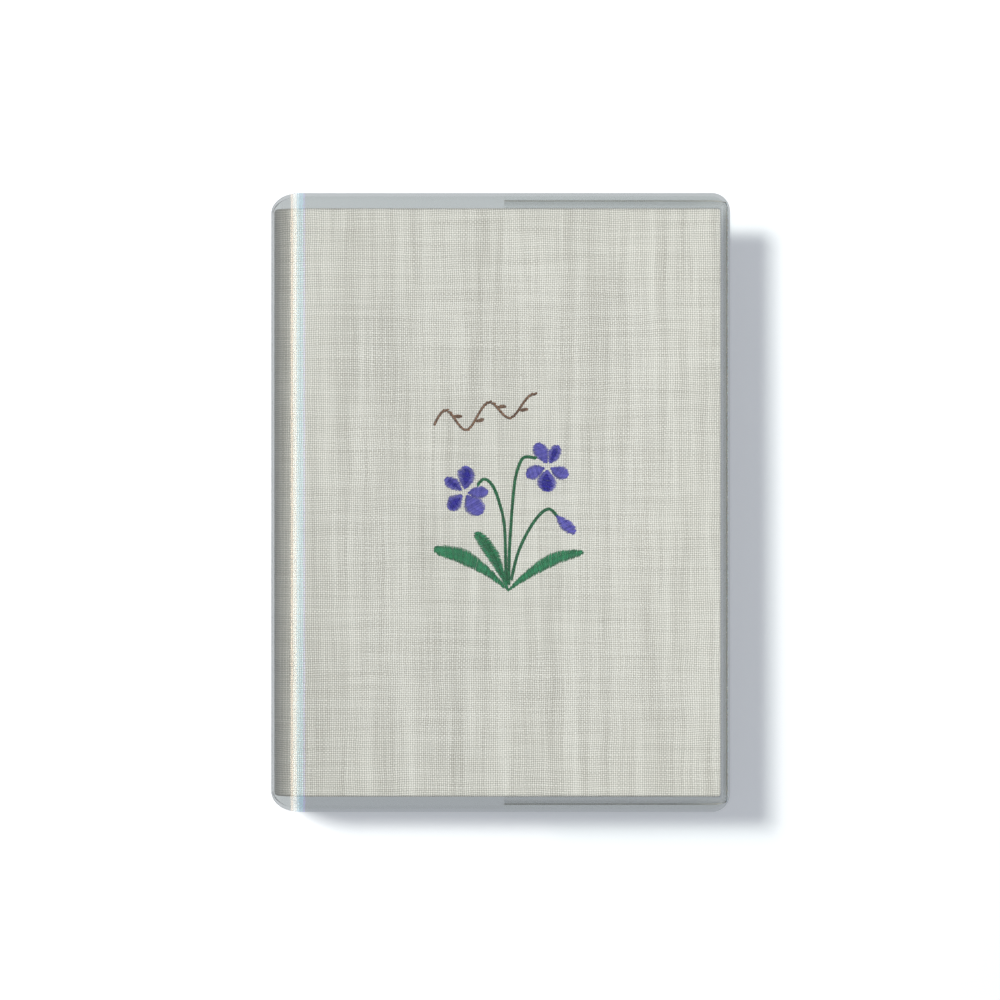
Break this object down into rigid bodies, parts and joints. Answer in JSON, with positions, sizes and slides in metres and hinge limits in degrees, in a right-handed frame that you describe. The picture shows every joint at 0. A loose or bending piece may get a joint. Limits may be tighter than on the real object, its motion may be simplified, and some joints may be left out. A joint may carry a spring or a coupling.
{
  "type": "needle case",
  "caption": "Book-form needle case: embroidered linen boards with a half-round spine in a clear vinyl jacket, opening on sewn felt leaves that hold needles.",
  "frame": {"origin": "centre of the closed case's underside", "axes": "+X from the spine to the fore edge, +Y to the head, +Z out of the front cover"},
  "size_m": [0.11, 0.148, 0.018],
  "materials": {
    "board": "matt",
    "linen": "matt, plain weave",
    "lining": "matt",
    "clear_vinyl": "clear, glossy",
    "felt": "matt",
    "cotton_tape": "matt",
    "linen_thread": "matt",
    "needle_steel": "polished",
    "violet_floss": "silky",
    "indigo_floss": "silky",
    "leaf_green_floss": "silky",
    "stem_green_floss": "silky",
    "brown_floss": "silky"
  },
  "bodies": {
    "back_cover": {"back_board": "board", "back_spine_card": "board", "back_linen": "linen", "back_lining": "lining", "back_jacket": "clear_vinyl", "back_jacket_flap": "clear_vinyl"},
    "front_cover": {"front_board": "board", "front_spine_card": "board", "front_linen": "linen", "front_lining": "lining", "front_jacket": "clear_vinyl", "front_jacket_flap": "clear_vinyl", "violet_stitches": "violet_floss", "indigo_stitches": "indigo_floss", "leaf_stitches": "leaf_green_floss", "left_stem_stitches": "stem_green_floss", "middle_stem_stitches": "stem_green_floss", "right_stem_stitches": "stem_green_floss", "scroll_stitches": "brown_floss"},
    "gathering": {"felt_fold_1": "felt", "felt_fold_2": "felt", "felt_fold_3": "felt", "spine_tape": "cotton_tape", "binding_thread": "linen_thread"},
    "first_leaf": {"leaf_1": "felt"},
    "second_leaf": {"leaf_2": "felt"},
    "third_leaf": {"leaf_3": "felt", "darning_needles": "needle_steel"},
    "fourth_leaf": {"leaf_4": "felt", "sharps_needles": "needle_steel"},
    "fifth_leaf": {"leaf_5": "felt"},
    "sixth_leaf": {"leaf_6": "felt"}
  },
  "joints": [
    {"name": "cover_hinge", "type": "hinge", "parent": "back_cover", "child": "front_cover", "pos_m": [-0.05515, 0, 0.009], "axis": [0, -1, 0], "range_deg": [0, 180]},
    {"name": "gathering_tilt", "type": "hinge", "parent": "back_cover", "child": "gathering", "pos_m": [-0.05515, 0, 0.009], "axis": [0, -1, 0], "range_deg": [0, 90]},
    {"name": "leaf_1_turn", "type": "hinge", "parent": "gathering", "child": "first_leaf", "pos_m": [-0.0469, 0, 0.0131], "axis": [0, -1, 0], "range_deg": [0, 97]},
    {"name": "leaf_2_turn", "type": "hinge", "parent": "gathering", "child": "second_leaf", "pos_m": [-0.04526, 0, 0.01165], "axis": [0, -1, 0], "range_deg": [0, 97]},
    {"name": "leaf_3_turn", "type": "hinge", "parent": "gathering", "child": "third_leaf", "pos_m": [-0.04362, 0, 0.0102], "axis": [0, -1, 0], "range_deg": [0, 97]},
    {"name": "leaf_4_turn", "type": "hinge", "parent": "gathering", "child": "fourth_leaf", "pos_m": [-0.04362, 0, 0.0078], "axis": [0, -1, 0], "range_deg": [-97, 0]},
    {"name": "leaf_5_turn", "type": "hinge", "parent": "gathering", "child": "fifth_leaf", "pos_m": [-0.04526, 0, 0.00635], "axis": [0, -1, 0], "range_deg": [-97, 0]},
    {"name": "leaf_6_turn", "type": "hinge", "parent": "gathering", "child": "sixth_leaf", "pos_m": [-0.0469, 0, 0.0049], "axis": [0, -1, 0], "range_deg": [-97, 0]}
  ],
  "couplings": [
    {"joint": "gathering_tilt", "follows": "cover_hinge", "ratio": 0.5},
    {"joint": "leaf_1_turn", "follows": "cover_hinge", "ratio": 0.53889},
    {"joint": "leaf_2_turn", "follows": "cover_hinge", "ratio": 0.53889},
    {"joint": "leaf_3_turn", "follows": "cover_hinge", "ratio": 0.53889},
    {"joint": "leaf_4_turn", "follows": "cover_hinge", "ratio": -0.53889},
    {"joint": "leaf_5_turn", "follows": "cover_hinge", "ratio": -0.53889},
    {"joint": "leaf_6_turn", "follows": "cover_hinge", "ratio": -0.53889}
  ]
}
